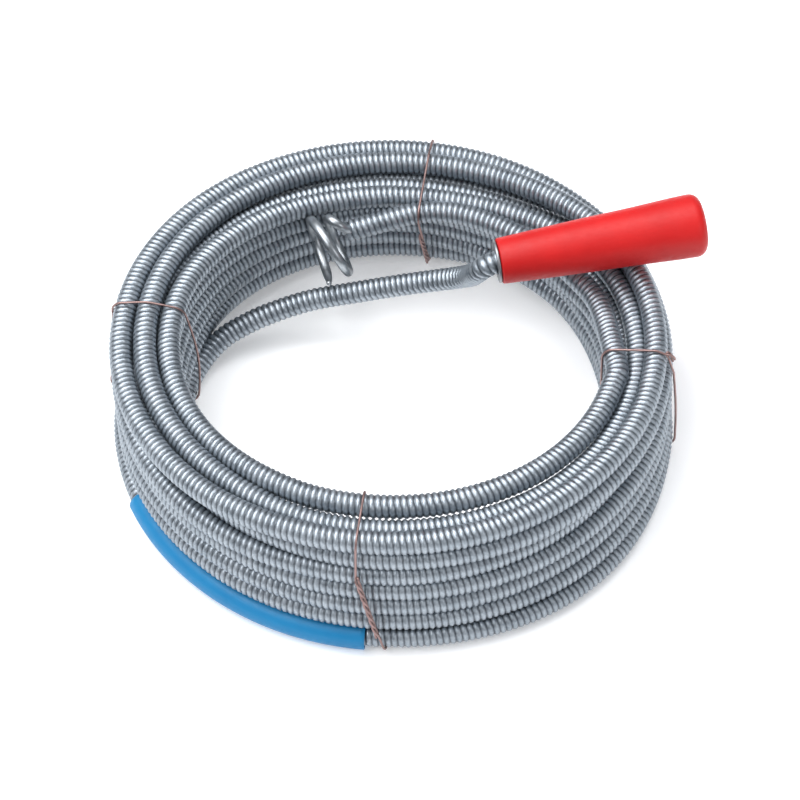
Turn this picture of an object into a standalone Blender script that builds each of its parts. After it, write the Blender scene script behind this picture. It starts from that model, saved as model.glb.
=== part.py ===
"""Hand drain auger with a crank grip, coiled up and tied with wire for storage.

Metres, +Z up. The coil lies flat on the floor and its front faces -Y. The
origin is on the floor under the middle of the whole object. Every position
below is measured from the coil's own centre, which lies at COIL_CENTRE.
"""

import math

import bmesh
import bpy
from mathutils import Matrix, Vector

# Driving dimensions
COIL_CENTRE = Vector((-0.00404, 0.00214, 0.0))
CABLE_D = 0.009
GAP = 0.0003

COIL_OUTER_R = 0.107
COIL_INNER_R = 0.080
COIL_FRONT_H = 0.063
COIL_BACK_H = 0.051
COIL_EDGE_R = 0.004

WIRE_D = 0.0011
GROOVE_H = 0.0022
GROOVE_LENGTH = 0.040
GROOVE_ROOM = 0.0016
TIE_CLEARANCE = GAP + WIRE_D / 2

GUIDE_OD = 0.0114
GUIDE_WALL = 0.0009
GUIDE_R = 0.1044
GUIDE_Z = GUIDE_OD / 2 + 0.0001
GUIDE_START = math.radians(204.6)
GUIDE_END = math.radians(264.5)
GUIDE_BACK_TRAVEL = math.radians(28.5)
GUIDE_FORWARD_TRAVEL = math.radians(2.8)

GRIP_MOUTH = Vector((0.0400, 0.0250, 0.0655))
GRIP_AXIS = Vector((0.0768, 0.0135, 0.0060)).normalized()
GRIP_LENGTH = 0.079
GRIP_MOUTH_R = 0.0088
GRIP_END_R = 0.0121
# The grip swells from its mouth to a waist, then runs straight to its end
GRIP_WAIST_AT = 0.034
GRIP_WAIST_SWELL = 0.0016
GRIP_EDGE_R = 0.0042
GRIP_BORE_R = 0.0052
GRIP_POCKET_R = 0.0062
GRIP_POCKET_DEPTH = 0.022
WASHER_T = 0.0009
FERRULE_LENGTH = 0.007
FERRULE_WALL = 0.0009
# The cable runs straight from just outside the mouth to just inside the ferrule
STRAIGHT_FROM = (-0.0015, 0.004)
CABLE_STOPS_SHORT = 0.002

# The auger head's loops stand on a slant across the cable's end
HEAD_WIRE_D = 0.0038
HEAD_LOOP_R = 0.0118
HEAD_TIP_LOOP_R = 0.0136
HEAD_TURNS = 1.75
HEAD_STEPS = 52
HEAD_START_R = 0.0022
# The first quarter turn swells out, the last half flares and the last quarter thins
HEAD_SWELL_TURNS = 0.25
HEAD_FLARE_TURNS = 0.5
HEAD_POINT_TURNS = 0.25
HEAD_THINNING = 0.7
HEAD_LOOP_PITCH = Vector((-0.0068, -0.0008, 0.0))
HEAD_SINK = Vector((-0.0018, -0.0070, -0.0009))
HEAD_TIP_SHIFT = Vector((-0.0016, -0.0037, 0.0010))
HEAD_TOPWARD = Vector((-0.478, 0.690, 0.543))
HEAD_FRONTWARD = Vector((0.0, -0.618, 0.786))

# Tie wires: azimuth at the bottom and at the top of the coil, in degrees
TIES = {
    "tie_wire_left": (173.5, 173.0),
    "tie_wire_back": (79.5, 81.5),
    "tie_wire_right": (353.0, 352.5),
    "tie_wire_front": (268.8, 263.2),
}
# Height of each tie's twist, and whether it lies outside or inside the ring
TWISTS = {
    "tie_wire_left": (0.030, "outside"),
    "tie_wire_back": (0.034, "inside"),
    "tie_wire_right": (0.047, "outside"),
    "tie_wire_front": (0.045, "outside"),
}
TWIST_LENGTH = 0.009
TWIST_HALF_GAP = 0.0022
TWIST_STANDOFF = 0.0019
TWIST_LEAN = {"outside": 0.10, "inside": 0.30}
TWIST_TURNS = 2.5

# Route of the loose end that crosses the hole to the grip, from the inner wall
CRANK_ROUTE = [
    (-0.0800, 0.0140, 0.0060),
    (-0.0742, 0.0262, 0.0078),
    (-0.0672, 0.0336, 0.0100),
    (-0.0590, 0.0378, 0.0126),
    (-0.0498, 0.0409, 0.0155),
    (-0.0331, 0.0442, 0.0200),
    (-0.0132, 0.0440, 0.0256),
    (0.0030, 0.0428, 0.0310),
    (0.0150, 0.0408, 0.0358),
    (0.0240, 0.0378, 0.0410),
    (0.0295, 0.0330, 0.0480),
    (0.0318, 0.0275, 0.0560),
    (0.0340, 0.0243, 0.0625),
]

# Route of the other loose end, from the inner wall to the auger head
TIP_ROUTE = [
    (0.0790, 0.0190, 0.0462),
    (0.0695, 0.0345, 0.0466),
    (0.0635, 0.0415, 0.0467),
    (0.0570, 0.0482, 0.0466),
    (0.0494, 0.0545, 0.0463),
    (0.0417, 0.0598, 0.0461),
    (0.0339, 0.0640, 0.0458),
    (0.0243, 0.0678, 0.0452),
    (0.0144, 0.0693, 0.0444),
    (0.0065, 0.0688, 0.0434),
    (-0.0014, 0.0674, 0.0420),
    (-0.0093, 0.0662, 0.0402),
    (-0.0155, 0.0653, 0.0387),
]

STEEL = ((0.50, 0.53, 0.56, 1.0), 0.32, 1.0)
BRIGHT_STEEL = ((0.62, 0.63, 0.64, 1.0), 0.22, 1.0)
TIE_WIRE = ((0.30, 0.17, 0.13, 1.0), 0.45, 1.0)
RED_PLASTIC = ((0.78, 0.02, 0.02, 1.0), 0.38, 0.0)
BLUE_PLASTIC = ((0.01, 0.22, 0.62, 1.0), 0.35, 0.0)


def clear_scene():
    for obj in list(bpy.data.objects):
        bpy.data.objects.remove(obj, do_unlink=True)


def new_collection(name):
    collection = bpy.data.collections.new(name)
    bpy.context.scene.collection.children.link(collection)
    return collection


def make_material(name, look):
    colour, roughness, metallic = look
    material = bpy.data.materials.new(name)
    material.use_nodes = True
    shader = material.node_tree.nodes["Principled BSDF"]
    shader.inputs["Base Color"].default_value = colour
    shader.inputs["Roughness"].default_value = roughness
    shader.inputs["Metallic"].default_value = metallic
    return material


def add_object(name, data, collection, look=None):
    obj = bpy.data.objects.new(name, data)
    collection.objects.link(obj)
    if look is not None:
        data.materials.append(make_material(name + "_material", look))
    return obj


def add_cutter(name, data, cutters):
    cutter = add_object(name, data, cutters)
    cutter.hide_render = True
    cutter.display_type = "WIRE"
    return cutter


def add_boolean(obj, cutter, operation="DIFFERENCE"):
    boolean = obj.modifiers.new("Boolean", "BOOLEAN")
    boolean.object = cutter
    boolean.operation = operation
    boolean.solver = "EXACT"


def tube_curve(name, points, radius, resolution=2, radii=None):
    """A POLY spline with a round bevel and filled caps."""
    curve = bpy.data.curves.new(name, "CURVE")
    curve.dimensions = "3D"
    curve.bevel_depth = radius
    curve.bevel_resolution = resolution
    curve.use_fill_caps = True
    curve.resolution_u = 1
    curve.render_resolution_u = 0
    spline = curve.splines.new("POLY")
    spline.points.add(len(points) - 1)
    for index, point in enumerate(points):
        spline.points[index].co = (*point, 1.0)
        if radii is not None:
            spline.points[index].radius = radii[index]
    return curve


def curve_to_mesh(name, curve):
    """The welded mesh of a tube, ready for a Boolean."""
    source = bpy.data.objects.new(name + "_source", curve)
    bpy.context.scene.collection.objects.link(source)
    graph = bpy.context.evaluated_depsgraph_get()
    mesh = bpy.data.meshes.new_from_object(source.evaluated_get(graph))
    bpy.data.objects.remove(source, do_unlink=True)
    work = bmesh.new()
    work.from_mesh(mesh)
    bmesh.ops.remove_doubles(work, verts=work.verts, dist=0.00001)
    bmesh.ops.recalc_face_normals(work, faces=work.faces)
    work.to_mesh(mesh)
    work.free()
    mesh.shade_smooth()
    return mesh


def turned_mesh(name, profile):
    """Profile of (radius, height) points joined into a closed loop."""
    mesh = bpy.data.meshes.new(name)
    work = bmesh.new()
    verts = [work.verts.new((radius, 0.0, height)) for radius, height in profile]
    for index, vert in enumerate(verts):
        work.edges.new((vert, verts[(index + 1) % len(verts)]))
    work.to_mesh(mesh)
    work.free()
    return mesh


def add_screw(obj, steps):
    screw = obj.modifiers.new("Screw", "SCREW")
    screw.axis = "Z"
    screw.angle = math.tau
    screw.steps = steps
    screw.render_steps = steps
    screw.use_merge_vertices = True
    screw.merge_threshold = 0.00001
    screw.use_smooth_shade = False


def smooth_route(route, spacing):
    """Points at an even spacing on a Catmull-Rom curve through the route."""
    knots = [Vector(point) for point in route]
    first = knots[0] * 2 - knots[1]
    last = knots[-1] * 2 - knots[-2]
    knots = [first, *knots, last]
    fine = []
    for index in range(1, len(knots) - 2):
        before, start, end, after = knots[index - 1 : index + 3]
        for step in range(16):
            t = step / 16
            fine.append(
                0.5
                * (
                    2 * start
                    + (end - before) * t
                    + (2 * before - 5 * start + 4 * end - after) * t**2
                    + (3 * start - before - 3 * end + after) * t**3
                )
            )
    fine.append(knots[-2])
    total = sum((b - a).length for a, b in zip(fine, fine[1:]))
    count = max(2, round(total / spacing))
    points = [fine[0]]
    walked = 0.0
    for a, b in zip(fine, fine[1:]):
        step = (b - a).length
        while len(points) < count and walked + step >= total * len(points) / count:
            share = (total * len(points) / count - walked) / step
            points.append(a.lerp(b, share))
        walked += step
    points.append(fine[-1])
    return points


def coil_top(y):
    """Height of the coil's sloping top face."""
    share = (y + COIL_OUTER_R) / (2 * COIL_OUTER_R)
    return COIL_FRONT_H + (COIL_BACK_H - COIL_FRONT_H) * share


def around(radius, angle, height):
    return Vector((radius * math.cos(angle), radius * math.sin(angle), height))


def arc_points(radius, start, end, height, count):
    return [
        around(radius, start + (end - start) * index / (count - 1), height)
        for index in range(count)
    ]


def add_tie_grooves(coil, cutters):
    """Shallow grooves under the coil, one for each tie wire to pass through."""
    middle_r = (COIL_OUTER_R + COIL_INNER_R) / 2
    for name, (bottom_angle, _) in TIES.items():
        mesh = bpy.data.meshes.new(name + "_groove")
        work = bmesh.new()
        bmesh.ops.create_cube(work, size=1.0)
        size = Matrix.Diagonal((GROOVE_LENGTH, WIRE_D + GROOVE_ROOM, 2 * GROOVE_H, 1.0))
        bmesh.ops.transform(work, matrix=size, verts=work.verts)
        work.to_mesh(mesh)
        work.free()
        groove = add_cutter(name + "_groove", mesh, cutters)
        groove.location = around(middle_r, math.radians(bottom_angle), 0.0)
        groove.rotation_euler.z = math.radians(bottom_angle)
        add_boolean(coil, groove)


def add_coil(parts, cutters):
    """Outer shape of the wound cable: a turned ring with a sloping top."""
    corners = [
        (COIL_OUTER_R, COIL_FRONT_H, 90, 0),
        (COIL_OUTER_R, 0.0, 0, -90),
        (COIL_INNER_R, 0.0, -90, -180),
        (COIL_INNER_R, COIL_FRONT_H, 180, 90),
    ]
    middle_r = (COIL_OUTER_R + COIL_INNER_R) / 2
    middle_h = COIL_FRONT_H / 2
    profile = []
    for radius, height, start, end in corners:
        centre_r = radius - math.copysign(COIL_EDGE_R, radius - middle_r)
        centre_h = height - math.copysign(COIL_EDGE_R, height - middle_h)
        for step in range(4):
            angle = math.radians(start + (end - start) * step / 3)
            profile.append(
                (
                    centre_r + COIL_EDGE_R * math.cos(angle),
                    centre_h + COIL_EDGE_R * math.sin(angle),
                )
            )
    mesh = bpy.data.meshes.new("cable_coil")
    work = bmesh.new()
    verts = [work.verts.new((radius, 0.0, height)) for radius, height in profile]
    edges = [
        work.edges.new((vert, verts[(index + 1) % len(verts)]))
        for index, vert in enumerate(verts)
    ]
    bmesh.ops.spin(
        work,
        geom=verts + edges,
        axis=(0, 0, 1),
        cent=(0, 0, 0),
        angle=math.tau,
        steps=72,
        use_merge=True,
    )
    bmesh.ops.remove_doubles(work, verts=work.verts, dist=0.00001)
    for vert in work.verts:
        if vert.co.z > middle_h:
            vert.co.z += coil_top(vert.co.y) - COIL_FRONT_H
    bmesh.ops.recalc_face_normals(work, faces=work.faces)
    work.to_mesh(mesh)
    work.free()
    coil = add_object("cable_coil", mesh, parts, STEEL)

    channel_start = GUIDE_START - GUIDE_BACK_TRAVEL - math.radians(0.5)
    channel_end = GUIDE_END + GUIDE_FORWARD_TRAVEL + math.radians(0.5)
    route = arc_points(GUIDE_R, channel_start, channel_end, GUIDE_Z, 25)
    curve = tube_curve("guide_channel", route, GUIDE_OD / 2 + 2 * GAP)
    channel = add_cutter("guide_channel", curve_to_mesh("guide_channel", curve), cutters)
    add_boolean(coil, channel)
    add_tie_grooves(coil, cutters)

    end_gap = GAP / GUIDE_R
    run = arc_points(
        GUIDE_R, channel_start + end_gap, channel_end - end_gap, GUIDE_Z, 25
    )
    curve = tube_curve("cable_guide_run", run, CABLE_D / 2)
    add_object("cable_guide_run", curve, parts, STEEL)


def add_guide_tube(parts):
    """Plastic sleeve that slides along the lowest outer turn."""
    mesh = bpy.data.meshes.new("guide_tube")
    work = bmesh.new()
    sides = 20
    verts = []
    for index in range(sides):
        turn = math.tau * index / sides
        radius = GUIDE_R + GUIDE_OD / 2 * math.cos(turn)
        height = GUIDE_Z + GUIDE_OD / 2 * math.sin(turn)
        verts.append(work.verts.new(around(radius, GUIDE_START, height)))
    edges = [
        work.edges.new((vert, verts[(index + 1) % sides]))
        for index, vert in enumerate(verts)
    ]
    bmesh.ops.spin(
        work,
        geom=verts + edges,
        axis=(0, 0, 1),
        cent=(0, 0, 0),
        angle=GUIDE_END - GUIDE_START,
        steps=20,
    )
    bmesh.ops.recalc_face_normals(work, faces=work.faces)
    ring_centre = around(GUIDE_R, GUIDE_START, GUIDE_Z)
    face = min(work.faces, key=lambda f: (f.calc_center_median() - ring_centre).length)
    outward = face.calc_center_median() - ring_centre
    if face.normal.dot(outward) < 0:
        bmesh.ops.reverse_faces(work, faces=work.faces)
    work.to_mesh(mesh)
    work.free()
    mesh.shade_smooth()
    guide = add_object("guide_tube", mesh, parts, BLUE_PLASTIC)
    shell = guide.modifiers.new("Solidify", "SOLIDIFY")
    shell.thickness = GUIDE_WALL
    shell.offset = -1.0


def add_hole_trimmer(cutters):
    """Cylinder that fills the coil's hole, with a small gap to the wall."""
    mesh = bpy.data.meshes.new("hole_trimmer")
    work = bmesh.new()
    bmesh.ops.create_cone(
        work,
        cap_ends=True,
        segments=72,
        radius1=COIL_INNER_R - 2 * GAP,
        radius2=COIL_INNER_R - 2 * GAP,
        depth=0.3,
    )
    work.to_mesh(mesh)
    work.free()
    return add_cutter("hole_trimmer", mesh, cutters)


def add_loose_ends(parts, cutters):
    """The two stretches of cable that leave the coil."""
    trimmer = add_hole_trimmer(cutters)
    ferrule_end = GRIP_LENGTH - GRIP_POCKET_DEPTH + WASHER_T + FERRULE_LENGTH
    grip_run = ferrule_end - CABLE_STOPS_SHORT
    straight = [GRIP_MOUTH + GRIP_AXIS * along for along in (*STRAIGHT_FROM, grip_run)]
    bend = smooth_route([*CRANK_ROUTE, straight[0], straight[1]], CABLE_D / 4)
    points = [*bend, straight[2]]
    mesh = curve_to_mesh("cable_crank_run", tube_curve("crank", points, CABLE_D / 2))
    crank = add_object("cable_crank_run", mesh, parts, STEEL)
    add_boolean(crank, trimmer, "INTERSECT")

    points = smooth_route(TIP_ROUTE, CABLE_D / 2)
    mesh = curve_to_mesh("cable_tip_run", tube_curve("tip", points, CABLE_D / 2))
    tip = add_object("cable_tip_run", mesh, parts, STEEL)
    add_boolean(tip, trimmer, "INTERSECT")


def axis_frame(origin, direction):
    """Matrix that turns local +Z onto a direction."""
    turn = direction.to_track_quat("Z", "Y").to_matrix().to_4x4()
    return Matrix.Translation(origin) @ turn


def add_grip(parts):
    """Hollow grip that turns on the end of the cable, and what holds it there."""
    frame = axis_frame(GRIP_MOUTH, GRIP_AXIS)
    profile = [(GRIP_POCKET_R + 0.0008, GRIP_LENGTH)]
    for step in range(6):
        angle = math.radians(90 - 18 * step)
        profile.append(
            (
                GRIP_END_R + GRIP_EDGE_R * (math.cos(angle) - 1),
                GRIP_LENGTH + GRIP_EDGE_R * (math.sin(angle) - 1),
            )
        )
    profile += [
        (GRIP_MOUTH_R + GRIP_WAIST_SWELL, GRIP_WAIST_AT),
        (GRIP_MOUTH_R, 0.0010),
        (GRIP_MOUTH_R - 0.0008, 0.0),
        (GRIP_BORE_R + 0.0006, 0.0),
        (GRIP_BORE_R, 0.0008),
        (GRIP_BORE_R, GRIP_LENGTH - GRIP_POCKET_DEPTH),
        (GRIP_POCKET_R, GRIP_LENGTH - GRIP_POCKET_DEPTH),
        (GRIP_POCKET_R, GRIP_LENGTH - 0.0008),
    ]
    grip = add_object("grip", turned_mesh("grip", profile), parts, RED_PLASTIC)
    grip.matrix_world = frame
    add_screw(grip, 36)

    add_washer("front_washer", -GAP - WASHER_T, GRIP_MOUTH_R - 0.0006, frame, parts)
    seat = GRIP_LENGTH - GRIP_POCKET_DEPTH + GAP
    add_washer("rear_washer", seat, GRIP_POCKET_R - GAP, frame, parts)

    start = seat + WASHER_T + GAP
    inner = CABLE_D / 2 + GAP
    outer = GRIP_POCKET_R - GAP
    profile = [
        (0.0, start + FERRULE_LENGTH),
        (outer - 0.0005, start + FERRULE_LENGTH),
        (outer, start + FERRULE_LENGTH - 0.0005),
        (outer, start),
        (inner, start),
        (inner, start + FERRULE_LENGTH - FERRULE_WALL),
        (0.0, start + FERRULE_LENGTH - FERRULE_WALL),
    ]
    mesh = bpy.data.meshes.new("end_ferrule")
    work = bmesh.new()
    verts = [work.verts.new((radius, 0.0, height)) for radius, height in profile]
    for first, second in zip(verts, verts[1:]):
        work.edges.new((first, second))
    work.to_mesh(mesh)
    work.free()
    ferrule = add_object("end_ferrule", mesh, parts, BRIGHT_STEEL)
    ferrule.matrix_world = frame
    add_screw(ferrule, 32)


def add_washer(name, height, outer, frame, parts):
    inner = CABLE_D / 2 + GAP
    profile = [
        (outer, height + WASHER_T),
        (outer, height),
        (inner, height),
        (inner, height + WASHER_T),
    ]
    washer = add_object(name, turned_mesh(name, profile), parts, BRIGHT_STEEL)
    washer.matrix_world = frame
    add_screw(washer, 32)


def ease(share):
    share = max(0.0, min(1.0, share))
    return share * share * (3 - 2 * share)


def add_head(parts):
    """Corkscrew of thick wire on the end of the cable, ending in a point."""
    end = Vector(TIP_ROUTE[-1])
    along = (end - Vector(TIP_ROUTE[-2])).normalized()
    start = end + along * (HEAD_WIRE_D / 2 + 2 * GAP)
    points = []
    radii = []
    for index in range(HEAD_STEPS + 1):
        turns = HEAD_TURNS * index / HEAD_STEPS
        swell = ease(turns / HEAD_SWELL_TURNS)
        flare = ease((turns - HEAD_TURNS + HEAD_FLARE_TURNS) / HEAD_FLARE_TURNS)
        turn = math.pi / 2 - math.tau * turns
        radius = HEAD_START_R + (HEAD_LOOP_R - HEAD_START_R) * swell
        radius += (HEAD_TIP_LOOP_R - HEAD_LOOP_R) * flare
        centre = start + HEAD_SINK * swell + HEAD_LOOP_PITCH * turns
        centre += HEAD_TIP_SHIFT * flare
        across = HEAD_TOPWARD * math.cos(turn) + HEAD_FRONTWARD * math.sin(turn)
        points.append(centre + across * radius)
        point = ease((turns - HEAD_TURNS + HEAD_POINT_TURNS) / HEAD_POINT_TURNS)
        radii.append(1.0 - HEAD_THINNING * point)
    curve = tube_curve("auger_head", points, HEAD_WIRE_D / 2, 2, radii)
    add_object("auger_head", curve, parts, BRIGHT_STEEL)


def tie_loop(name):
    """Closed way of a tie wire round the coil, starting at its twist."""
    bottom_angle, top_angle = TIES[name]

    def place(radius, height):
        share = height / COIL_FRONT_H
        angle = math.radians(bottom_angle + (top_angle - bottom_angle) * share)
        return around(radius, angle, height)

    inner = COIL_INNER_R - TIE_CLEARANCE
    outer = COIL_OUTER_R + TIE_CLEARANCE
    floor = WIRE_D / 2 + 0.0001
    sine = math.sin(math.radians(top_angle))
    bottom_corner = 0.0020
    top_corner = COIL_EDGE_R + TIE_CLEARANCE

    def top_at(radius):
        return coil_top(radius * sine) + TIE_CLEARANCE

    def rounded(radius, height, start):
        corner = bottom_corner if height == floor else top_corner
        centre_r = radius - math.copysign(corner, radius - (inner + outer) / 2)
        centre_h = height - math.copysign(corner, height - COIL_FRONT_H / 2)
        for step in range(5):
            angle = math.radians(start - 22.5 * step)
            yield place(
                centre_r + corner * math.cos(angle),
                centre_h + corner * math.sin(angle),
            )

    inner_top = list(rounded(inner, top_at(inner + top_corner), 180))
    outer_top = list(rounded(outer, top_at(outer - top_corner), 90))
    outer_bottom = list(rounded(outer, floor, 0))
    inner_bottom = list(rounded(inner, floor, -90))
    height, side = TWISTS[name]
    if side == "outside":
        above = place(outer, height + TWIST_HALF_GAP)
        below = place(outer, height - TWIST_HALF_GAP)
        loop = [below, *outer_bottom, *inner_bottom, *inner_top, *outer_top, above]
        root, outward = place(outer + TWIST_STANDOFF, height), 1.0
    else:
        above = place(inner, height + TWIST_HALF_GAP)
        below = place(inner, height - TWIST_HALF_GAP)
        loop = [above, *inner_top, *outer_top, *outer_bottom, *inner_bottom, below]
        root, outward = place(inner - TWIST_STANDOFF, height), -1.0
    angle = math.radians((bottom_angle + top_angle) / 2)
    radial = Vector((math.cos(angle), math.sin(angle), 0.0)) * outward
    return loop, root, radial


def add_ties(parts):
    """Each tie is one wire: a loop round the coil and two twisted tails."""
    for name in TIES:
        loop, root, radial = tie_loop(name)
        lean = TWIST_LEAN[TWISTS[name][1]]
        axis = (radial * lean + Vector((0, 0, -1))).normalized()
        side = axis.cross(radial).normalized()
        out = side.cross(axis).normalized()
        strand_r = WIRE_D / 2 + 0.0001
        first_sign = 1.0 if (loop[0] - loop[-1]).z > 0 else -1.0

        def strand(sign):
            points = []
            for index in range(21):
                share = index / 20
                turn = math.tau * TWIST_TURNS * share
                offset = side * math.sin(turn) + out * math.cos(turn)
                points.append(
                    root + axis * (TWIST_LENGTH * share) + offset * (sign * strand_r)
                )
            return points

        points = [*reversed(strand(first_sign)), *loop, *strand(-first_sign)]
        add_object(name, tube_curve(name, points, WIRE_D / 2), parts, TIE_WIRE)


def main():
    clear_scene()
    parts = new_collection("drain_auger")
    cutters = new_collection("drain_auger_cutters")
    add_coil(parts, cutters)
    add_guide_tube(parts)
    add_loose_ends(parts, cutters)
    add_grip(parts)
    add_head(parts)
    add_ties(parts)
    for obj in [*parts.objects, *cutters.objects]:
        obj.location += COIL_CENTRE


main()
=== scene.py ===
"""The looks of the drain auger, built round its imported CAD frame.

Metres, in the CAD's own frame. Positions are measured from the coil's centre,
and the coil's cross-section is laid out in cable diameters.
"""

import math

import bmesh
import bpy
import numpy as np
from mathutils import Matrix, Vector


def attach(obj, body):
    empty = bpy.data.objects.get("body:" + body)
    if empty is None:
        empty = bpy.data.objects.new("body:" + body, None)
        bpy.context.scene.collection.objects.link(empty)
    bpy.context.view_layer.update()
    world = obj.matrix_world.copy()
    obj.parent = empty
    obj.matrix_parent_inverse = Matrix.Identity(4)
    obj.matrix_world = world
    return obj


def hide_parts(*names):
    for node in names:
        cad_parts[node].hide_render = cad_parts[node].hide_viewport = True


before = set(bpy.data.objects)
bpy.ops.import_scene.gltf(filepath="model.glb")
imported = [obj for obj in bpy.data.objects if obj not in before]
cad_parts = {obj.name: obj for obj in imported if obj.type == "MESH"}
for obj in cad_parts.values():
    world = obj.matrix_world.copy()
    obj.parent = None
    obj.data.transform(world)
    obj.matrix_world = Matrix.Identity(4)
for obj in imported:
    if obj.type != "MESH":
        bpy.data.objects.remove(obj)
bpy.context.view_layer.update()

# The coil's place and the cable, as in the CAD
COIL_CENTRE = Vector((-0.00404, 0.00214, 0.0))
CABLE_D = 0.009
CABLE_R = CABLE_D / 2
PITCH = 0.00231
WIRE_R = 0.00112
# The groove between two windings is filled up to this share of the wire's radius.
GROOVE_FLOOR = 0.42
PATH_SPACING = 0.0008
PATH_SMOOTHING = 0.0022
# A round end of a tube bulges by this share of its radius.
END_BULGE = 0.8

GRIP_MOUTH = Vector((0.0400, 0.0250, 0.0655))
GRIP_AXIS = Vector((0.0768, 0.0135, 0.0060)).normalized()
GRIP_LENGTH = 0.079
GRIP_MOUTH_R = 0.0088
GRIP_END_R = 0.0121
GRIP_BORE_R = 0.0052
GRIP_POCKET_R = 0.0062
GRIP_POCKET_DEPTH = 0.022
GRIP_EDGE_R = 0.0042
GRIP_LIP_R = 0.0009
CABLE_END_IN_GRIP = 0.0625

GUIDE_OD = 0.0114
GUIDE_ID = 0.0096
GUIDE_R = 0.1044
GUIDE_Z = 0.0058
GUIDE_START = 204.6
GUIDE_END = 264.5
GUIDE_REACH = (174.0, 270.0)
GUIDE_ROOM = 0.00025

# Nearer the middle than this, only the run to the grip passes a tie's azimuth.
IN_COIL_R = 0.06
TIE_R = 0.00046
TIE_GAP = 0.00005
TIE_SPACING = 0.0005
TIE_FINE_SPACING = 0.0003
TIE_SMOOTHING = 0.00035
STRAND_R = 0.00052
TWIST_PITCH = 0.0085

# The auger head's loops stand on a slant across the cable's end, as in the CAD
HEAD_WIRE_R = 0.0019
HEAD_LOOP_R = 0.0118
HEAD_TIP_LOOP_R = 0.0136
HEAD_TURNS = 1.75
HEAD_START_R = 0.0014
HEAD_SET_BACK = 0.0009
# The first quarter turn swells out, the last half flares and its tip thins.
HEAD_SWELL_TURNS = 0.25
HEAD_FLARE_TURNS = 0.5
HEAD_POINT_TURNS = 0.15
HEAD_THINNING = 0.5
HEAD_LOOP_PITCH = np.array((-0.0068, -0.0008, 0.0))
HEAD_SINK = np.array((-0.0018, -0.0070, -0.0009))
HEAD_TIP_SHIFT = np.array((-0.0016, -0.0037, 0.0010))
HEAD_TOPWARD = np.array((-0.478, 0.690, 0.543))
HEAD_FRONTWARD = np.array((0.0, -0.618, 0.786))

CRANK_ROUTE = [
    (-0.0806, 0.0130, 0.0056),
    (-0.0748, 0.0255, 0.0072),
    (-0.0672, 0.0336, 0.0100),
    (-0.0590, 0.0378, 0.0126),
    (-0.0498, 0.0409, 0.0155),
    (-0.0331, 0.0442, 0.0200),
    (-0.0132, 0.0440, 0.0256),
    (0.0030, 0.0428, 0.0310),
    (0.0150, 0.0408, 0.0358),
    (0.0240, 0.0378, 0.0410),
    (0.0295, 0.0330, 0.0480),
    (0.0318, 0.0275, 0.0560),
    (0.0340, 0.0243, 0.0625),
]

TIP_ROUTE = [
    (0.0790, 0.0190, 0.0462),
    (0.0695, 0.0345, 0.0466),
    (0.0635, 0.0415, 0.0467),
    (0.0570, 0.0482, 0.0466),
    (0.0494, 0.0545, 0.0463),
    (0.0417, 0.0598, 0.0461),
    (0.0339, 0.0640, 0.0458),
    (0.0243, 0.0678, 0.0452),
    (0.0144, 0.0693, 0.0444),
    (0.0065, 0.0688, 0.0434),
    (-0.0014, 0.0674, 0.0420),
    (-0.0093, 0.0662, 0.0402),
    (-0.0155, 0.0653, 0.0387),
    (-0.0190, 0.0648, 0.0378),
]

# Where each turn lies, as (radius, height) in cable diameters, at the back, the
# left, the front and the right, in the order in which the cable was wound.
TURNS = [
    (None, (9.15, 0.60), (9.70, 0.50), (9.55, 0.50)),
    ((10.45, 0.95), (10.50, 1.00), (10.60, 1.00), (10.50, 0.95)),
    ((11.40, 0.50), (11.60, 0.64), (11.60, 0.64), (11.55, 0.50)),
    ((11.35, 1.50), (11.42, 1.70), (11.49, 1.75), (11.50, 1.45)),
    ((10.40, 1.95), (10.50, 2.00), (10.57, 2.05), (10.50, 1.95)),
    ((9.38, 0.85), (9.32, 1.55), (9.68, 1.50), (9.50, 1.45)),
    ((9.21, 1.86), (9.38, 2.55), (9.66, 2.50), (9.45, 2.40)),
    ((9.04, 2.84), (9.45, 3.55), (10.45, 4.00), (9.50, 3.40)),
    ((8.82, 3.80), (9.55, 4.60), (10.43, 5.00), (9.75, 4.35)),
    ((10.35, 2.95), (10.50, 3.00), (10.52, 3.02), (10.45, 2.95)),
    ((11.35, 2.50), (11.38, 2.62), (11.42, 2.70), (11.40, 2.40)),
    ((11.35, 3.50), (11.35, 3.60), (11.35, 3.65), (11.35, 3.35)),
    ((10.60, 3.95), (11.33, 4.62), (11.28, 4.60), (10.75, 4.15)),
    ((9.66, 4.30), (10.52, 4.98), (11.22, 5.55), (11.25, 5.00)),
    ((11.40, 4.90), (11.39, 5.70), (11.15, 6.50), (10.95, 5.85)),
    ((10.53, 5.10), (10.39, 5.80), (10.27, 6.07), (10.28, 5.27)),
    ((8.70, 4.80), (9.39, 5.72), (9.37, 6.49), (9.47, 5.80)),
]
# A turn crosses to its next place behind the grip, between these azimuths.
CROSS_FROM = 12.0
CROSS_TO = 78.0
COIL_START = 180.0
TIP_LEAVES_AT = 350.0
STEPS_PER_TURN = 96
# The hose is on the third turn, counted from 0.
SLEEVED_TURN = 2
# The turns settle in this many rounds, and the last ones only push them apart.
ROUNDS = 500
LAST_ROUNDS = 30
# Shares of an overlap, of a kink and of a turn's distance from its place in the
# table that one round takes away.
PUSH_SHARE = 0.35
EASE_SHARE = 0.5
PULL_SHARE = 0.03
# Neighbouring turns nest a little, because their ribs sit in one another's grooves.
NESTED_R = 0.478
# The lowest outer turns swing out between the hose and the right tie.
SWINGS = {2: 0.34, 3: 0.16}
SWING_AT = 313.0
SWING_REACH = 40.0

# Tie wires: azimuth at the floor and from TIE_LEAN_H up, in degrees
TIES = {
    "left": (173.5, 173.0),
    "back": (79.5, 81.5),
    "right": (353.0, 352.5),
    "front": (268.8, 262.9),
}
TIE_LEAN_H = 0.048
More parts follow.
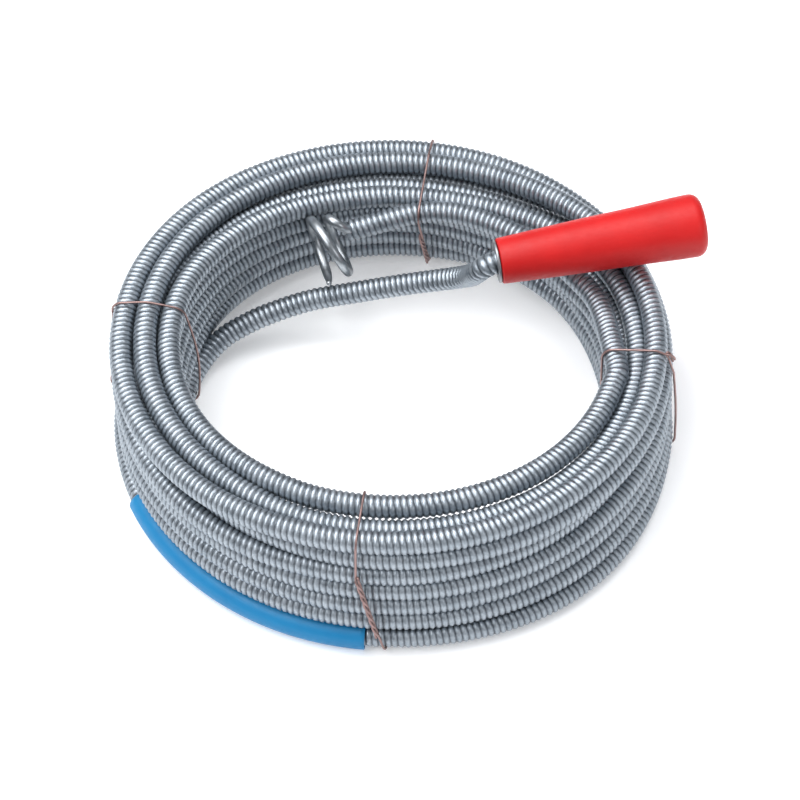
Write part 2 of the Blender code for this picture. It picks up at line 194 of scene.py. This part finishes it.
# A cable rises this much over a tie that passes below it, and is down again so
# many degrees to either side.
TIE_LIFT = 0.0012
TIE_LIFT_FROM = 1.5
TIE_LIFT_REACH = 9.0
TWIST_LIFT = 0.0017
TWIST_STEP = 0.0006
# Where the two ends of each tie are twisted together, as (radius, height), the
# length of the twist, and how far the loop stands off: (side, from, to, most).
TWISTS = {
    "left": ((0.1075, 0.014), 0.008, (-1, 0.004, 0.052, 0.0022)),
    "back": ((0.074, 0.036), 0.030, (-1, 0.004, 0.040, 0.0)),
    "right": ((0.1018, 0.0585), 0.006, (1, 0.002, 0.044, 0.0006)),
    "front": ((0.109, 0.047), 0.034, (1, 0.004, 0.040, 0.0003)),
}


# ---------------------------------------------------------------- the cable's way


def smoothstep(t):
    t = np.clip(t, 0.0, 1.0)
    return t * t * (3 - 2 * t)


def turn_target(azimuth):
    """(radius, height) in diameters where the cable should lie, with azimuth
    counted on from the first turn."""
    turn = int(azimuth // 360)
    at = azimuth - 360 * turn
    back, left, front, right = TURNS[turn]
    if at < 90:
        before = TURNS[turn - 1][3]
        share = smoothstep((at - CROSS_FROM) / (CROSS_TO - CROSS_FROM))
        start, end = before, back
    elif at < 180:
        share = smoothstep((at - 90) / 90)
        start, end = back, left
    elif at < 270:
        share = smoothstep((at - 180) / 90)
        start, end = left, front
    else:
        share = smoothstep((at - 270) / 90)
        start, end = front, right
    swing = SWINGS.get(turn, 0.0) * float(smoothstep(1 - abs(at - SWING_AT) / SWING_REACH))
    radius = start[0] + (end[0] - start[0]) * share + swing
    return [radius, start[1] + (end[1] - start[1]) * share]


def in_guide(azimuth):
    return GUIDE_REACH[0] <= azimuth % 360 <= GUIDE_REACH[1]


def floor_height(azimuth):
    """Lowest height of a cable's centre, lifted where a tie wire passes below."""
    lift = 0.0
    for bottom, _ in TIES.values():
        off = abs((azimuth - bottom + 180) % 360 - 180)
        lift = max(lift, TIE_LIFT * float(1 - smoothstep((off - TIE_LIFT_FROM) / TIE_LIFT_REACH)))
    return (CABLE_R + lift) / CABLE_D


def coil_path():
    """Points of the coiled stretch, with the turns pushed off one another."""
    step = 360 / STEPS_PER_TURN
    last = 360 * (len(TURNS) - 1) + TIP_LEAVES_AT
    azimuths = np.arange(COIL_START, last, step)
    target = np.array([turn_target(a) for a in azimuths])
    place = target.copy()
    count = len(azimuths)
    slots = np.round(azimuths / step).astype(int)
    table = np.full((STEPS_PER_TURN, len(TURNS)), -1)
    table[slots % STEPS_PER_TURN, slots // STEPS_PER_TURN] = np.arange(count)
    sleeve = np.array([in_guide(a) and int(a // 360) == SLEEVED_TURN for a in azimuths])
    radius = np.full(count, NESTED_R)
    radius[sleeve] = (GUIDE_OD / 2 + GUIDE_ROOM) / CABLE_D
    lowest = np.array([floor_height(a) for a in azimuths])
    valid = table >= 0
    safe = table.clip(0)
    pair_ok = valid[:, :, None] & valid[:, None, :]
    pair_ok &= ~np.eye(len(TURNS), dtype=bool)[None]
    reach = radius[safe][:, :, None] + radius[safe][:, None, :]
    for round_number in range(ROUNDS):
        at = place[safe]
        apart = at[:, :, None] - at[:, None, :]
        distance = np.linalg.norm(apart, axis=-1)
        overlap = np.where(pair_ok, np.maximum(reach - distance, 0.0), 0.0)
        push = (apart / np.maximum(distance, 1e-6)[..., None]) * overlap[..., None]
        move = np.zeros_like(place)
        np.add.at(move, safe[valid], PUSH_SHARE * push.sum(2)[valid])
        place = place + move
        if round_number < ROUNDS - LAST_ROUNDS:
            smooth = place.copy()
            smooth[1:-1] = 0.25 * place[:-2] + 0.5 * place[1:-1] + 0.25 * place[2:]
            place += EASE_SHARE * (smooth - place) + PULL_SHARE * (target - place)
        place[sleeve] = (GUIDE_R / CABLE_D, GUIDE_Z / CABLE_D)
        place[:, 1] = np.maximum(place[:, 1], lowest)
    angle = np.radians(azimuths)
    r, z = place[:, 0] * CABLE_D, place[:, 1] * CABLE_D
    return np.stack([r * np.cos(angle), r * np.sin(angle), z], 1)


def resample(points, spacing):
    steps = np.linalg.norm(np.diff(points, axis=0), axis=1)
    along = np.concatenate([[0.0], np.cumsum(steps)])
    count = int(round(along[-1] / spacing)) + 1
    even = np.linspace(0.0, along[-1], count)
    return np.stack([np.interp(even, along, column) for column in points.T], 1)


def catmull_rom(knots, per_span=24):
    knots = np.array(knots, float)
    knots = np.vstack([2 * knots[0] - knots[1], knots, 2 * knots[-1] - knots[-2]])
    t = np.linspace(0, 1, per_span, endpoint=False)[:, None]
    spans = []
    for a, b, c, d in zip(knots, knots[1:], knots[2:], knots[3:]):
        spans.append(
            0.5
            * (
                2 * b
                + (c - a) * t
                + (2 * a - 5 * b + 4 * c - d) * t**2
                + (3 * b - a - 3 * c + d) * t**3
            )
        )
    return np.vstack([*spans, knots[-2][None]])


def soften(points, spacing, width):
    """Gaussian smoothing along a path, which keeps both of its ends."""
    reach = int(4 * width / spacing)
    weights = np.exp(-0.5 * (np.arange(-reach, reach + 1) * spacing / width) ** 2)
    weights /= weights.sum()
    head = 2 * points[0] - points[reach:0:-1]
    tail = 2 * points[-1] - points[-2 : -reach - 2 : -1]
    padded = np.vstack([head, points, tail])
    return np.stack([np.convolve(column, weights, "valid") for column in padded.T], 1)


def cable_path():
    """The whole cable, from its end inside the grip to the auger head."""
    mouth, axis = np.array(GRIP_MOUTH), np.array(GRIP_AXIS)
    straight = [mouth + axis * s for s in (CABLE_END_IN_GRIP, 0.03, 0.004, -0.0015)]
    chord = [np.array(p) for p in reversed(CRANK_ROUTE)]
    coil = coil_path()
    way = catmull_rom([*straight, *chord, coil[0], coil[3], coil[6]], 40)
    tip = catmull_rom([*coil[-3:], *[np.array(p) for p in TIP_ROUTE]], 40)
    middle = catmull_rom(coil[6:-2], 8)
    points = resample(np.vstack([way[:-1], middle, tip[1:]]), PATH_SPACING)
    beyond = np.arange(1, 6)[:, None] * (points[-1] - points[-2])
    points = soften(np.vstack([points, points[-1] + beyond]), PATH_SPACING, PATH_SMOOTHING)
    return points + np.array(COIL_CENTRE)


def transport_frames(points):
    """Tangents and a frame carried along the path without twisting."""
    tangents = np.gradient(points, axis=0)
    tangents /= np.linalg.norm(tangents, axis=1)[:, None]
    first = np.cross(tangents[0], (0.0, 0.0, 1.0))
    first /= np.linalg.norm(first)
    sides = np.empty_like(points)
    sides[0] = first
    for i in range(1, len(points)):
        side = sides[i - 1] - tangents[i] * (sides[i - 1] @ tangents[i])
        sides[i] = side / np.linalg.norm(side)
    return tangents, sides, np.cross(tangents, sides)


def make_mesh(name, verts, *face_groups):
    """A smooth mesh from arrays of points and of faces, each group of one size."""
    mesh = bpy.data.meshes.new(name)
    verts = np.asarray(verts, np.float32)
    groups = [np.asarray(group, np.int32) for group in face_groups]
    corners = np.concatenate([group.ravel() for group in groups])
    sizes = np.concatenate([np.full(len(group), group.shape[1], np.int32) for group in groups])
    starts = np.concatenate([[0], np.cumsum(sizes)[:-1]]).astype(np.int32)
    mesh.vertices.add(len(verts))
    mesh.vertices.foreach_set("co", verts.ravel())
    mesh.loops.add(len(corners))
    mesh.loops.foreach_set("vertex_index", corners)
    mesh.polygons.add(len(sizes))
    mesh.polygons.foreach_set("loop_start", starts)
    mesh.polygons.foreach_set("loop_total", sizes)
    mesh.update(calc_edges=True)
    mesh.shade_smooth()
    return mesh


def add_piece(name, mesh, material, body, replaces=()):
    obj = bpy.data.objects.new(name, mesh)
    bpy.context.scene.collection.objects.link(obj)
    mesh.materials.append(material)
    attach(obj, body)
    if replaces:
        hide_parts(*replaces)
    return obj


def ribbed_cable(name, points, sides, phases):
    """Closed mesh of a close-wound spring: one seam runs round it as the wire does."""
    spacing = np.linalg.norm(np.diff(points, axis=0), axis=1)
    along = np.concatenate([[0.0], np.cumsum(spacing)])
    tangents, side, up = transport_frames(points)
    per_pitch = len(phases)
    rings = int((along[-1] - 2 * PITCH) / PITCH) * per_pitch
    index = np.arange(rings + per_pitch)
    start = PITCH * (index // per_pitch + np.array(phases)[index % per_pitch])
    x = (np.array(phases) - 0.5) * PITCH
    depth = WIRE_R - np.sqrt(np.maximum(WIRE_R**2 - x**2, (GROOVE_FLOOR * WIRE_R) ** 2))
    groove = depth / depth.max()
    turn = np.arange(sides) / sides
    s = start[:rings, None] + PITCH * turn[None, :]
    angle = 2 * math.pi * turn[None, :]
    radius = (CABLE_R - depth)[index[:rings] % per_pitch][:, None]
    at = [np.interp(s, along, points[:, i]) for i in range(3)]
    wide = [np.interp(s, along, side[:, i]) for i in range(3)]
    high = [np.interp(s, along, up[:, i]) for i in range(3)]
    c, d = radius * np.cos(angle), radius * np.sin(angle)
    verts = np.stack([at[i] + c * wide[i] + d * high[i] for i in range(3)], -1)
    verts = verts.reshape(-1, 3)
    # Painted shade: this share darkens the cable's colour in the grooves between windings, where
    # the windings shade one another.
    painted_groove_shade = np.broadcast_to(groove[index[:rings] % per_pitch][:, None], (rings, sides))

    i, j = np.meshgrid(np.arange(rings - 1), np.arange(sides - 1), indexing="ij")
    a = (i * sides + j).ravel()
    body = np.stack([a, a + 1, a + sides + 1, a + sides], 1)
    k = np.arange(rings - 1 - per_pitch)
    b = k * sides + sides - 1
    seam = np.stack([b, (k + per_pitch) * sides, (k + per_pitch + 1) * sides, b + sides], 1)
    faces = np.vstack([body, seam])

    top = rings - 1
    rim_start = [*range(sides), *(r * sides for r in range(per_pitch, 0, -1))]
    rim_end = [r * sides + sides - 1 for r in range(top - per_pitch, top + 1)]
    rim_end += [top * sides + j for j in range(sides - 2, -1, -1)]
    hubs = [0.5 * PITCH, start[top] + 0.5 * PITCH]
    centres = [[np.interp(s_end, along, points[:, n]) for n in range(3)] for s_end in hubs]
    caps = [
        (second, first, rings * sides + end)
        for end, rim in enumerate((rim_start, rim_end))
        for first, second in zip(rim, rim[1:] + rim[:1])
    ]
    mesh = make_mesh(name, np.vstack([verts, centres]), faces, caps)
    # The groove attribute holds the groove's depth, which the cable material paints as shade.
    shade = np.concatenate([painted_groove_shade.ravel(), [0.0, 0.0]]).astype(np.float32)
    mesh.attributes.new("groove", "FLOAT", "POINT").data.foreach_set("value", shade)
    used = (along >= 0.5 * PITCH) & (along <= start[top] + 0.5 * PITCH)
    return mesh, points[used]


def tube(name, points, radii, sides):
    """Closed tube with rounded ends."""
    radii = np.broadcast_to(radii, len(points)).astype(float)
    tangents, side, up = transport_frames(points)
    ends = []
    for sign, at in ((-1, 0), (1, -1)):
        for turn in (30, 60):
            out = sign * math.sin(math.radians(turn)) * radii[at] * END_BULGE
            narrowed = radii[at] * math.cos(math.radians(turn))
            ends.append((points[at] + tangents[at] * out, narrowed, at))
    body_rings = [(p, r, k) for k, (p, r) in enumerate(zip(points, radii))]
    order = [ends[1], ends[0], *body_rings, ends[2], ends[3]]
    angle = 2 * math.pi * np.arange(sides) / sides
    verts = np.vstack(
        [
            p + r * (np.outer(np.cos(angle), side[k]) + np.outer(np.sin(angle), up[k]))
            for p, r, k in order
        ]
    )
    rings = len(order)
    i, j = np.meshgrid(np.arange(rings - 1), np.arange(sides), indexing="ij")
    a, b = (i * sides + j).ravel(), (i * sides + (j + 1) % sides).ravel()
    body = np.stack([a, b, b + sides, a + sides], 1)
    hubs = [
        points[0] - tangents[0] * radii[0] * END_BULGE,
        points[-1] + tangents[-1] * radii[-1] * END_BULGE,
    ]
    last = (rings - 1) * sides
    first_cap = [((j + 1) % sides, j, rings * sides) for j in range(sides)]
    last_cap = [(last + j, last + (j + 1) % sides, rings * sides + 1) for j in range(sides)]
    return make_mesh(name, np.vstack([verts, hubs]), body, first_cap + last_cap)


def turned(name, profile, origin, axis, segments):
    """Closed profile of (radius, distance along the axis), turned round the axis."""
    profile = np.array(profile)
    e1 = np.cross(axis, (0.0, 0.0, 1.0))
    e1 /= np.linalg.norm(e1)
    e2 = np.cross(axis, e1)
    angle = 2 * math.pi * np.arange(segments) / segments
    spokes = np.outer(np.cos(angle), e1) + np.outer(np.sin(angle), e2)
    verts = (
        np.array(origin)
        + profile[:, 1][None, :, None] * np.array(axis)
        + profile[:, 0][None, :, None] * spokes[:, None, :]
    ).reshape(-1, 3)
    count = len(profile)
    i, j = np.meshgrid(np.arange(segments), np.arange(count), indexing="ij")
    a, b = i * count + j, i * count + (j + 1) % count
    c, d = ((i + 1) % segments) * count + (j + 1) % count, ((i + 1) % segments) * count + j
    faces = np.stack([a.ravel(), d.ravel(), c.ravel(), b.ravel()], 1)
    return make_mesh(name, verts, faces)


def bend(centre, radius, start, end, steps):
    """Points of (radius, distance) round a corner, by angles in degrees."""
    turns = np.radians(np.linspace(start, end, steps + 1))
    return [(centre[0] + radius * math.cos(a), centre[1] + radius * math.sin(a)) for a in turns]


def lean(name, height):
    """Azimuth of a tie at a height, in degrees."""
    bottom, top = TIES[name]
    return bottom + (top - bottom) * np.clip(height / TIE_LEAN_H, 0.0, 1.0)


def crossings(path, name):
    """(radius, height) at which the cable passes through a tie."""
    place = path - np.array(COIL_CENTRE)
    azimuth = np.degrees(np.arctan2(place[:, 1], place[:, 0]))
    off = (azimuth - lean(name, place[:, 2]) + 180) % 360 - 180
    radius = np.hypot(place[:, 0], place[:, 1])
    crosses = (off[:-1] * off[1:] <= 0) & (np.abs(off[:-1]) < 20)
    hits = np.nonzero(crosses & (radius[:-1] > IN_COIL_R))[0]
    return np.stack([radius[hits], place[hits, 2]], 1)


def tie_outline(path, name):
    """Closed outline of the cables that a tie binds, as (radius, height)."""
    centres = crossings(path, name)
    reach = CABLE_R + TIE_R + TIE_GAP
    angles = np.radians(np.arange(-90, 270, 5))
    way = np.stack([np.cos(angles), np.sin(angles)], 1)
    outline = centres[np.argmax(way @ centres.T, axis=1)] + reach * way
    outline = resample(np.vstack([outline, outline[:1]]), TWIST_STEP)[:-1]
    side, start, end, most = TWISTS[name][2]
    middle = (outline[:, 0].min() + outline[:, 0].max()) / 2
    share = np.clip((outline[:, 1] - start) / (end - start), 0.0, 1.0)
    bulge = side * most * np.sin(math.pi * share)
    outline[:, 0] += np.where((outline[:, 0] - middle) * side > 0, bulge, 0.0)
    outline[:, 1] = np.maximum(outline[:, 1], TIE_R + 0.00004)
    return outline


def tie_path(path, name):
    """Way of one tie wire: a loop round the coil whose two ends are twisted."""
    outline = tie_outline(path, name)
    root, length, _ = TWISTS[name]
    start = int(np.argmin(np.linalg.norm(outline - np.array(root), axis=1)))
    outline = np.roll(outline, -start, axis=0)
    if outline[4, 1] > outline[0, 1]:
        outline = np.roll(outline[::-1], 1, axis=0)
    middle = outline.mean(0)
    ahead = np.roll(outline, -3, 0) - np.roll(outline, 3, 0)
    ahead /= np.linalg.norm(ahead, axis=1)[:, None]
    outward = np.stack([ahead[:, 1], -ahead[:, 0]], 1)
    outward *= np.sign(((outline - middle) * outward).sum(1))[:, None]

    def place(flat):
        azimuth = np.radians(lean(name, flat[:, 1]))
        x, y = flat[:, 0] * np.cos(azimuth), flat[:, 0] * np.sin(azimuth)
        return np.stack([x, y, flat[:, 1]], 1) + np.array(COIL_CENTRE)

    count = int(length / TWIST_STEP)
    lift = TWIST_LIFT * smoothstep(np.arange(count) / 5)
    axis = place(outline[:count] + outward[:count] * lift[:, None])
    azimuth = math.radians(TIES[name][1])
    across = np.array((-math.sin(azimuth), math.cos(azimuth), 0.0))
    along = np.gradient(axis, axis=0)
    along /= np.linalg.norm(along, axis=1)[:, None]
    away = np.cross(across, along)
    turn = 2 * math.pi * np.arange(count) * TWIST_STEP / TWIST_PITCH + 0.5 * math.pi
    offset = STRAND_R * (across * np.cos(turn)[:, None] + away * np.sin(turn)[:, None])
    loop = place(outline[3:-3])
    way = np.vstack([(axis - offset)[2:][::-1], loop, (axis + offset)[2:]])
    way = soften(resample(way, TIE_FINE_SPACING), TIE_FINE_SPACING, TIE_SMOOTHING)
    return resample(way, TIE_SPACING)


def head_path(end, along):
    """Corkscrew of thick wire that grows out of the cable's end."""
    turns = np.linspace(0.0, HEAD_TURNS, 160)
    left = HEAD_TURNS - turns
    swell = smoothstep(turns / HEAD_SWELL_TURNS)[:, None]
    flare = smoothstep(1 - left / HEAD_FLARE_TURNS)[:, None]
    turn = math.pi / 2 - 2 * math.pi * turns
    radius = HEAD_START_R + (HEAD_LOOP_R - HEAD_START_R) * swell
    radius = radius + (HEAD_TIP_LOOP_R - HEAD_LOOP_R) * flare
    centre = end - along * HEAD_SET_BACK + HEAD_SINK * swell
    centre = centre + HEAD_LOOP_PITCH * turns[:, None]
    centre = centre + HEAD_TIP_SHIFT * flare
    across = np.outer(np.cos(turn), HEAD_TOPWARD) + np.outer(np.sin(turn), HEAD_FRONTWARD)
    taper = 1.0 - HEAD_THINNING * smoothstep(1 - left / HEAD_POINT_TURNS)
    return centre + across * radius, HEAD_WIRE_R * taper


# ---------------------------------------------------------------- materials


def new_material(name):
    material = bpy.data.materials.new(name)
    material.use_nodes = True
    tree = material.node_tree
    return material, tree, tree.nodes["Principled BSDF"]


def noise(tree, scale, detail, roughness=0.55):
    """A noise texture in object coordinates, which are metres."""
    coords = tree.nodes.new("ShaderNodeTexCoord")
    texture = tree.nodes.new("ShaderNodeTexNoise")
    texture.inputs["Scale"].default_value = scale
    texture.inputs["Detail"].default_value = detail
    texture.inputs["Roughness"].default_value = roughness
    tree.links.new(coords.outputs["Object"], texture.inputs["Vector"])
    return texture.outputs["Fac"]


def ramp(tree, source, stops):
    node = tree.nodes.new("ShaderNodeValToRGB")
    elements = node.color_ramp.elements
    while len(elements) < len(stops):
        elements.new(0.5)
    for element, (position, colour) in zip(elements, stops):
        element.position = position
        element.color = (*colour, 1.0)
    tree.links.new(source, node.inputs["Fac"])
    return node.outputs["Color"]


def spread(tree, source, low, high, start=0.3, end=0.7):
    node = tree.nodes.new("ShaderNodeMapRange")
    node.inputs["From Min"].default_value = start
    node.inputs["From Max"].default_value = end
    node.inputs["To Min"].default_value = low
    node.inputs["To Max"].default_value = high
    tree.links.new(source, node.inputs["Value"])
    return node.outputs["Result"]


def mix(tree, share, first, second):
    node = tree.nodes.new("ShaderNodeMix")
    node.data_type = "RGBA"
    if isinstance(share, float):
        node.inputs["Factor"].default_value = share
    else:
        tree.links.new(share, node.inputs["Factor"])
    for socket, value in ((node.inputs[6], first), (node.inputs[7], second)):
        if isinstance(value, tuple):
            socket.default_value = (*value, 1.0)
        else:
            tree.links.new(value, socket)
    return node.outputs[2]


def bump(tree, shader, source, distance, strength):
    node = tree.nodes.new("ShaderNodeBump")
    node.inputs["Distance"].default_value = distance
    node.inputs["Strength"].default_value = strength
    tree.links.new(source, node.inputs["Height"])
    tree.links.new(node.outputs["Normal"], shader.inputs["Normal"])


def cable_material():
    """Galvanised spring wire: blue-grey, streaked, with painted shade darkening the grooves."""
    material, tree, shader = new_material("galvanised_spring")
    groove = tree.nodes.new("ShaderNodeAttribute")
    groove.attribute_name = "groove"
    blotch = noise(tree, 160.0, 5.0)
    fine = noise(tree, 1500.0, 3.0)
    zinc = ramp(tree, blotch, [(0.30, (0.255, 0.295, 0.335)), (0.70, (0.425, 0.470, 0.515))])
    flecks = ramp(tree, fine, [(0.35, (0.19, 0.22, 0.25)), (0.65, (0.56, 0.60, 0.64))])
    flecked = mix(tree, 0.25, zinc, flecks)
    # Painted shade: the colour darkens towards a near-black blue-grey with the groove's depth,
    # standing in for the shade between windings.
    groove_shade = spread(tree, groove.outputs["Fac"], 0.0, 0.80, 0.25, 1.0)
    colour = mix(tree, groove_shade, flecked, (0.022, 0.027, 0.035))
    tree.links.new(colour, shader.inputs["Base Color"])
    shader.inputs["Metallic"].default_value = 0.92
    tree.links.new(spread(tree, blotch, 0.38, 0.50), shader.inputs["Roughness"])
    bump(tree, shader, fine, 0.00006, 0.5)
    return material


def bright_wire_material(name, colour, roughness):
    material, tree, shader = new_material(name)
    blotch = noise(tree, 220.0, 5.0)
    fine = noise(tree, 2200.0, 3.0)
    darker = tuple(0.72 * c for c in colour)
    tone = ramp(tree, blotch, [(0.32, darker), (0.62, colour)])
    tree.links.new(tone, shader.inputs["Base Color"])
    shader.inputs["Metallic"].default_value = 0.95
    rubbed = spread(tree, blotch, roughness * 0.8, roughness * 1.3)
    tree.links.new(rubbed, shader.inputs["Roughness"])
    bump(tree, shader, fine, 0.00005, 0.5)
    return material


def plastic_material(name, colour, deep, roughness, peel):
    """Moulded plastic with a slight orange peel and rubbed patches."""
    material, tree, shader = new_material(name)
    cloud = noise(tree, 60.0, 6.0)
    scuff = noise(tree, 420.0, 6.0, 0.7)
    tone = ramp(tree, cloud, [(0.30, deep), (0.70, colour)])
    tree.links.new(tone, shader.inputs["Base Color"])
    rubbed = spread(tree, scuff, roughness * 0.85, roughness * 1.35)
    tree.links.new(rubbed, shader.inputs["Roughness"])
    shader.inputs["Specular IOR Level"].default_value = 0.36
    bump(tree, shader, noise(tree, 900.0, 2.0), peel, 0.6)
    return material


# ---------------------------------------------------------------- camera and stage

CAMERA_ELEVATION = math.radians(51.83)
CAMERA_AIM = COIL_CENTRE + Vector((0.00256, -0.01149, 0.027))
CAMERA_DISTANCE = 1.0121
CAMERA_LENS = 119.46


def add_camera():
    camera = bpy.data.objects.new("camera", bpy.data.cameras.new("camera"))
    camera.data.lens = CAMERA_LENS
    camera.data.sensor_width = 36.0
    camera.data.clip_start = 0.01
    away = Vector((0.0, -math.cos(CAMERA_ELEVATION), math.sin(CAMERA_ELEVATION)))
    camera.location = CAMERA_AIM + away * CAMERA_DISTANCE
    camera.rotation_euler = (math.pi / 2 - CAMERA_ELEVATION, 0.0, 0.0)
    bpy.context.scene.collection.objects.link(camera)
    bpy.context.scene.camera = camera


def add_area_light(name, location, size, power):
    light = bpy.data.lights.new(name, "AREA")
    light.shape = "RECTANGLE"
    light.size, light.size_y = size
    light.energy = power
    lamp = bpy.data.objects.new(name, light)
    lamp.location = location
    aim = Vector((0.0, 0.0, 0.02)) - Vector(location)
    lamp.rotation_euler = aim.to_track_quat("-Z", "Y").to_euler()
    bpy.context.scene.collection.objects.link(lamp)


def add_stage():
    mesh = bpy.data.meshes.new("floor")
    work = bmesh.new()
    bmesh.ops.create_grid(work, x_segments=1, y_segments=1, size=6.0)
    work.to_mesh(mesh)
    work.free()
    floor = bpy.data.objects.new("floor", mesh)
    floor.location.z = -0.0002
    bpy.context.scene.collection.objects.link(floor)
    material, _, shader = new_material("pale_floor")
    shader.inputs["Base Color"].default_value = (0.86, 0.87, 0.88, 1.0)
    shader.inputs["Roughness"].default_value = 0.75
    shader.inputs["Emission Color"].default_value = (1.0, 1.0, 1.0, 1.0)
    shader.inputs["Emission Strength"].default_value = 0.28
    mesh.materials.append(material)

    world = bpy.data.worlds.new("studio")
    world.use_nodes = True
    background = world.node_tree.nodes["Background"]
    background.inputs["Color"].default_value = (0.90, 0.93, 1.0, 1.0)
    background.inputs["Strength"].default_value = 0.33
    bpy.context.scene.world = world
    bpy.context.scene.view_settings.view_transform = "Standard"
    add_area_light("key", (-0.8, -0.2, 1.4), (1.7, 1.2), 28.5)
    add_area_light("fill", (1.1, -0.9, 0.9), (0.7, 0.7), 4.0)
    add_area_light("top", (0.0, 0.5, 1.6), (1.8, 1.1), 23.0)


# ---------------------------------------------------------------- pieces


def build_cable(material):
    sides, phases = 12, [0.0, 0.14, 0.38, 0.62, 0.86]
    mesh, path = ribbed_cable("spring_cable", cable_path(), sides, phases)
    cable = add_piece(
        "spring_cable",
        mesh,
        material,
        "coil",
        ["cable_coil", "cable_guide_run", "cable_crank_run", "cable_tip_run"],
    )
    return cable, path


def build_head(end, along, material):
    points, radii = head_path(end, along)
    mesh = tube("head_wire", points, radii, 20)
    return add_piece("head_wire", mesh, material, "coil", ["auger_head"])


def build_ties(path, material):
    for name in TIES:
        points = tie_path(path, name)
        mesh = tube("tie_" + name, points, TIE_R, 8)
        add_piece("tie_" + name, mesh, material, "coil", ["tie_wire_" + name])


def build_grip(material):
    length, step = GRIP_LENGTH, GRIP_LENGTH - GRIP_POCKET_DEPTH
    edge, lip = GRIP_EDGE_R, GRIP_LIP_R
    profile = [
        *bend((GRIP_END_R - edge, length - edge), edge, 0, 82, 10),
        *bend((GRIP_POCKET_R + 0.0009, length - 0.0008), 0.0008, 85, 180, 5),
        (GRIP_POCKET_R, length - 0.004),
        (GRIP_POCKET_R, step + 0.0003),
        (GRIP_POCKET_R - 0.0003, step),
        (GRIP_BORE_R + 0.0002, step),
        (GRIP_BORE_R, step - 0.0002),
        (GRIP_BORE_R, 0.0010),
        *bend((GRIP_BORE_R + 0.0007, 0.0007), 0.0007, 180, 270, 4),
        *bend((GRIP_MOUTH_R - lip, lip), lip, 270, 355, 5),
        (GRIP_MOUTH_R + 0.0008, 0.0170),
        (GRIP_MOUTH_R + 0.0016, 0.0340),
        (GRIP_MOUTH_R + 0.0022, 0.0510),
        (GRIP_END_R - 0.0002, 0.0680),
    ]
    mesh = turned("hand_grip", profile, GRIP_MOUTH + COIL_CENTRE, GRIP_AXIS, 96)
    return add_piece("hand_grip", mesh, material, "grip", ["grip"])


def build_front_washer(material):
    inner, outer, edge = CABLE_R + 0.0003, GRIP_MOUTH_R - 0.0006, 0.0002
    back, front = -0.0003, -0.0012
    profile = [
        *bend((outer - edge, back - edge), edge, 90, 0, 3),
        *bend((outer - edge, front + edge), edge, 0, -90, 3),
        *bend((inner + edge, front + edge), edge, -90, -180, 3),
        *bend((inner + edge, back - edge), edge, 180, 90, 3),
    ][::-1]
    mesh = turned("thrust_ring", profile, GRIP_MOUTH + COIL_CENTRE, GRIP_AXIS, 64)
    return add_piece("thrust_ring", mesh, material, "coil", ["front_washer"])


def build_guide(material):
    """Cut length of hose round the lowest outer turn."""
    outer, inner, edge = GUIDE_OD / 2, GUIDE_ID / 2, 0.0002
    sides, steps = 40, 72
    start, end = math.radians(GUIDE_START), math.radians(GUIDE_END)
    tuck = edge / GUIDE_R
    rings = [(start + tuck, inner), (start, inner + edge), (start, outer - edge)]
    rings += [(a, outer) for a in np.linspace(start + tuck, end - tuck, steps)]
    rings += [(end, outer - edge), (end, inner + edge)]
    rings += [(a, inner) for a in np.linspace(end - tuck, start + tuck, 24)[:-1]]
    turn = 2 * math.pi * np.arange(sides) / sides
    verts = []
    for azimuth, radius in rings:
        away = GUIDE_R + radius * np.cos(turn)
        height = GUIDE_Z + radius * np.sin(turn)
        verts.append(np.stack([away * math.cos(azimuth), away * math.sin(azimuth), height], 1))
    count = len(rings)
    i, j = np.meshgrid(np.arange(count), np.arange(sides), indexing="ij")
    ahead = (i + 1) % count
    a, b = i * sides + j, i * sides + (j + 1) % sides
    c, d = ahead * sides + (j + 1) % sides, ahead * sides + j
    faces = np.stack([a.ravel(), b.ravel(), c.ravel(), d.ravel()], 1)
    mesh = make_mesh("guide_hose", np.vstack(verts) + np.array(COIL_CENTRE), faces)
    return add_piece("guide_hose", mesh, material, "guide", ["guide_tube"])


def dress_cad_nodes(material):
    """The two fittings inside the grip keep their CAD shapes."""
    for name in ("rear_washer", "end_ferrule"):
        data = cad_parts[name].data
        data.materials.clear()
        data.materials.append(material)


def main():
    add_camera()
    cable, path = build_cable(cable_material())
    along = (path[-1] - path[-8]) / np.linalg.norm(path[-1] - path[-8])
    bright = bright_wire_material("bright_steel", (0.42, 0.45, 0.475), 0.34)
    head = build_head(path[-1], along, bright)
    copper = bright_wire_material("copper_tie", (0.36, 0.24, 0.225), 0.42)
    build_ties(path, copper)
    pale, deep = (0.56, 0.007, 0.007), (0.47, 0.005, 0.005)
    red = plastic_material("red_grip", pale, deep, 0.44, 0.00008)
    build_grip(red)
    fittings = bright_wire_material("zinc_fittings", (0.36, 0.375, 0.39), 0.38)
    build_front_washer(fittings)
    dress_cad_nodes(fittings)
    pale, deep = (0.006, 0.205, 0.440), (0.004, 0.170, 0.385)
    blue = plastic_material("blue_hose", pale, deep, 0.44, 0.00006)
    build_guide(blue)
    add_stage()


main()
